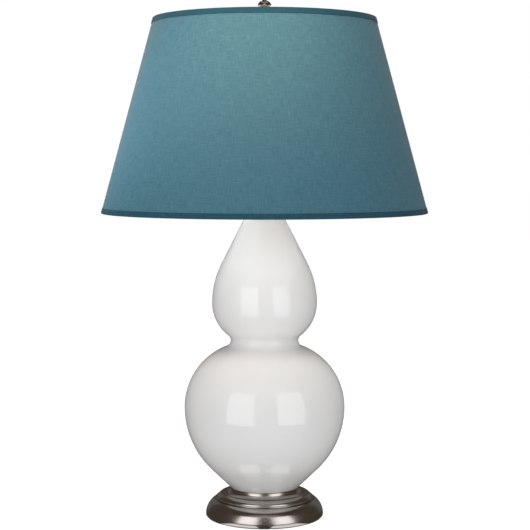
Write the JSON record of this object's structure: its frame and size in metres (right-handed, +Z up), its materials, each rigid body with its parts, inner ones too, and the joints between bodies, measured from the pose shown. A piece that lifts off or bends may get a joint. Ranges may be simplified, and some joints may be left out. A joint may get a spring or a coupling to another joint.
{
  "type": "table lamp",
  "caption": "Table lamp with a glazed ceramic double gourd on a stepped metal foot and a tapered teal fabric shade held by a harp and finial.",
  "frame": {"origin": "centre of the felt underside, on the lamp's upright axis", "axes": "+Z up along the lamp's axis, -Y towards the viewer with the switch knob, +X to the viewer's right, cord outlet at +Y"},
  "size_m": [0.4824, 0.4824, 0.7868],
  "materials": {
    "felt": "black felt",
    "board": "pressed board",
    "foot_metal": "brushed dark nickel",
    "bushing": "matt black",
    "cast_iron": "as cast, blackened",
    "hardware": "zinc-plated steel",
    "gasket": "soft black rubber",
    "glaze": "glossy near-white glaze",
    "socket_metal": "satin nickel plate",
    "insulating_paper": "fibre sleeve",
    "socket_core": "moulded black",
    "brass": "plain brass",
    "knob": "moulded black",
    "bulb_glass": "frosted glass",
    "bulb_cap": "rolled aluminium",
    "bulb_insulator": "black vitreous",
    "harp_metal": "satin nickel plate",
    "shade_fabric": "teal linen weave",
    "shade_liner": "matt white",
    "shade_wire": "white enamel",
    "shade_trim": "teal linen band"
  },
  "bodies": {
    "stand": {"felt_pad": "felt", "base_board": "board", "metal_foot": "foot_metal", "cord_bushing": "bushing", "iron_weight": "cast_iron", "weight_washer": "hardware", "pipe_nut": "hardware", "lamp_pipe": "hardware", "foot_gasket": "gasket", "gourd_body": "glaze", "neck_gasket": "gasket", "vase_cap": "foot_metal", "neck_spacer": "foot_metal", "harp_saddle": "hardware", "saddle_nut": "hardware", "socket_cap": "socket_metal", "cap_screw": "hardware", "socket_shell": "socket_metal", "shell_sleeve": "insulating_paper", "socket_core": "socket_core", "terminal_screws": "brass", "screw_shell": "brass", "centre_contact": "brass", "harp": "harp_metal"},
    "switch": {"switch_shaft": "hardware", "switch_knob": "knob"},
    "bulb": {"bulb_glass": "bulb_glass", "bulb_cap": "bulb_cap", "bulb_insulator": "bulb_insulator", "bulb_contact": "brass"},
    "ferrule_left": {"harp_ferrule_left": "harp_metal"},
    "ferrule_right": {"harp_ferrule_right": "harp_metal"},
    "shade": {"harp_stud": "harp_metal", "spider_hub": "shade_wire", "spider_arms": "shade_wire", "shade_top_ring": "shade_wire", "shade_bottom_ring": "shade_wire", "shade_liner": "shade_liner", "shade_fabric": "shade_fabric", "shade_top_trim": "shade_trim", "shade_bottom_trim": "shade_trim"},
    "finial": {"finial": "foot_metal", "finial_insert": "brass"}
  },
  "joints": [
    {"name": "switch_turn", "type": "hinge", "parent": "stand", "child": "switch", "pos_m": [0, 0, 0.5326], "axis": [0, -1, 0], "continuous": true},
    {"name": "bulb_turn", "type": "hinge", "parent": "stand", "child": "bulb", "pos_m": [0, 0, 0.5434], "axis": [0, 0, 1], "continuous": true},
    {"name": "ferrule_left_lift", "type": "slide", "parent": "stand", "child": "ferrule_left", "axis": [0, 0, 1], "range_m": [0, 0.013]},
    {"name": "ferrule_right_lift", "type": "slide", "parent": "stand", "child": "ferrule_right", "axis": [0, 0, 1], "range_m": [0, 0.013]},
    {"name": "shade_swivel", "type": "hinge", "parent": "stand", "child": "shade", "pos_m": [0, 0, 0.726], "axis": [0, 0, 1], "continuous": true},
    {"name": "finial_turn", "type": "hinge", "parent": "shade", "child": "finial", "pos_m": [0, 0, 0.7284], "axis": [0, 0, 1], "continuous": true}
  ]
}
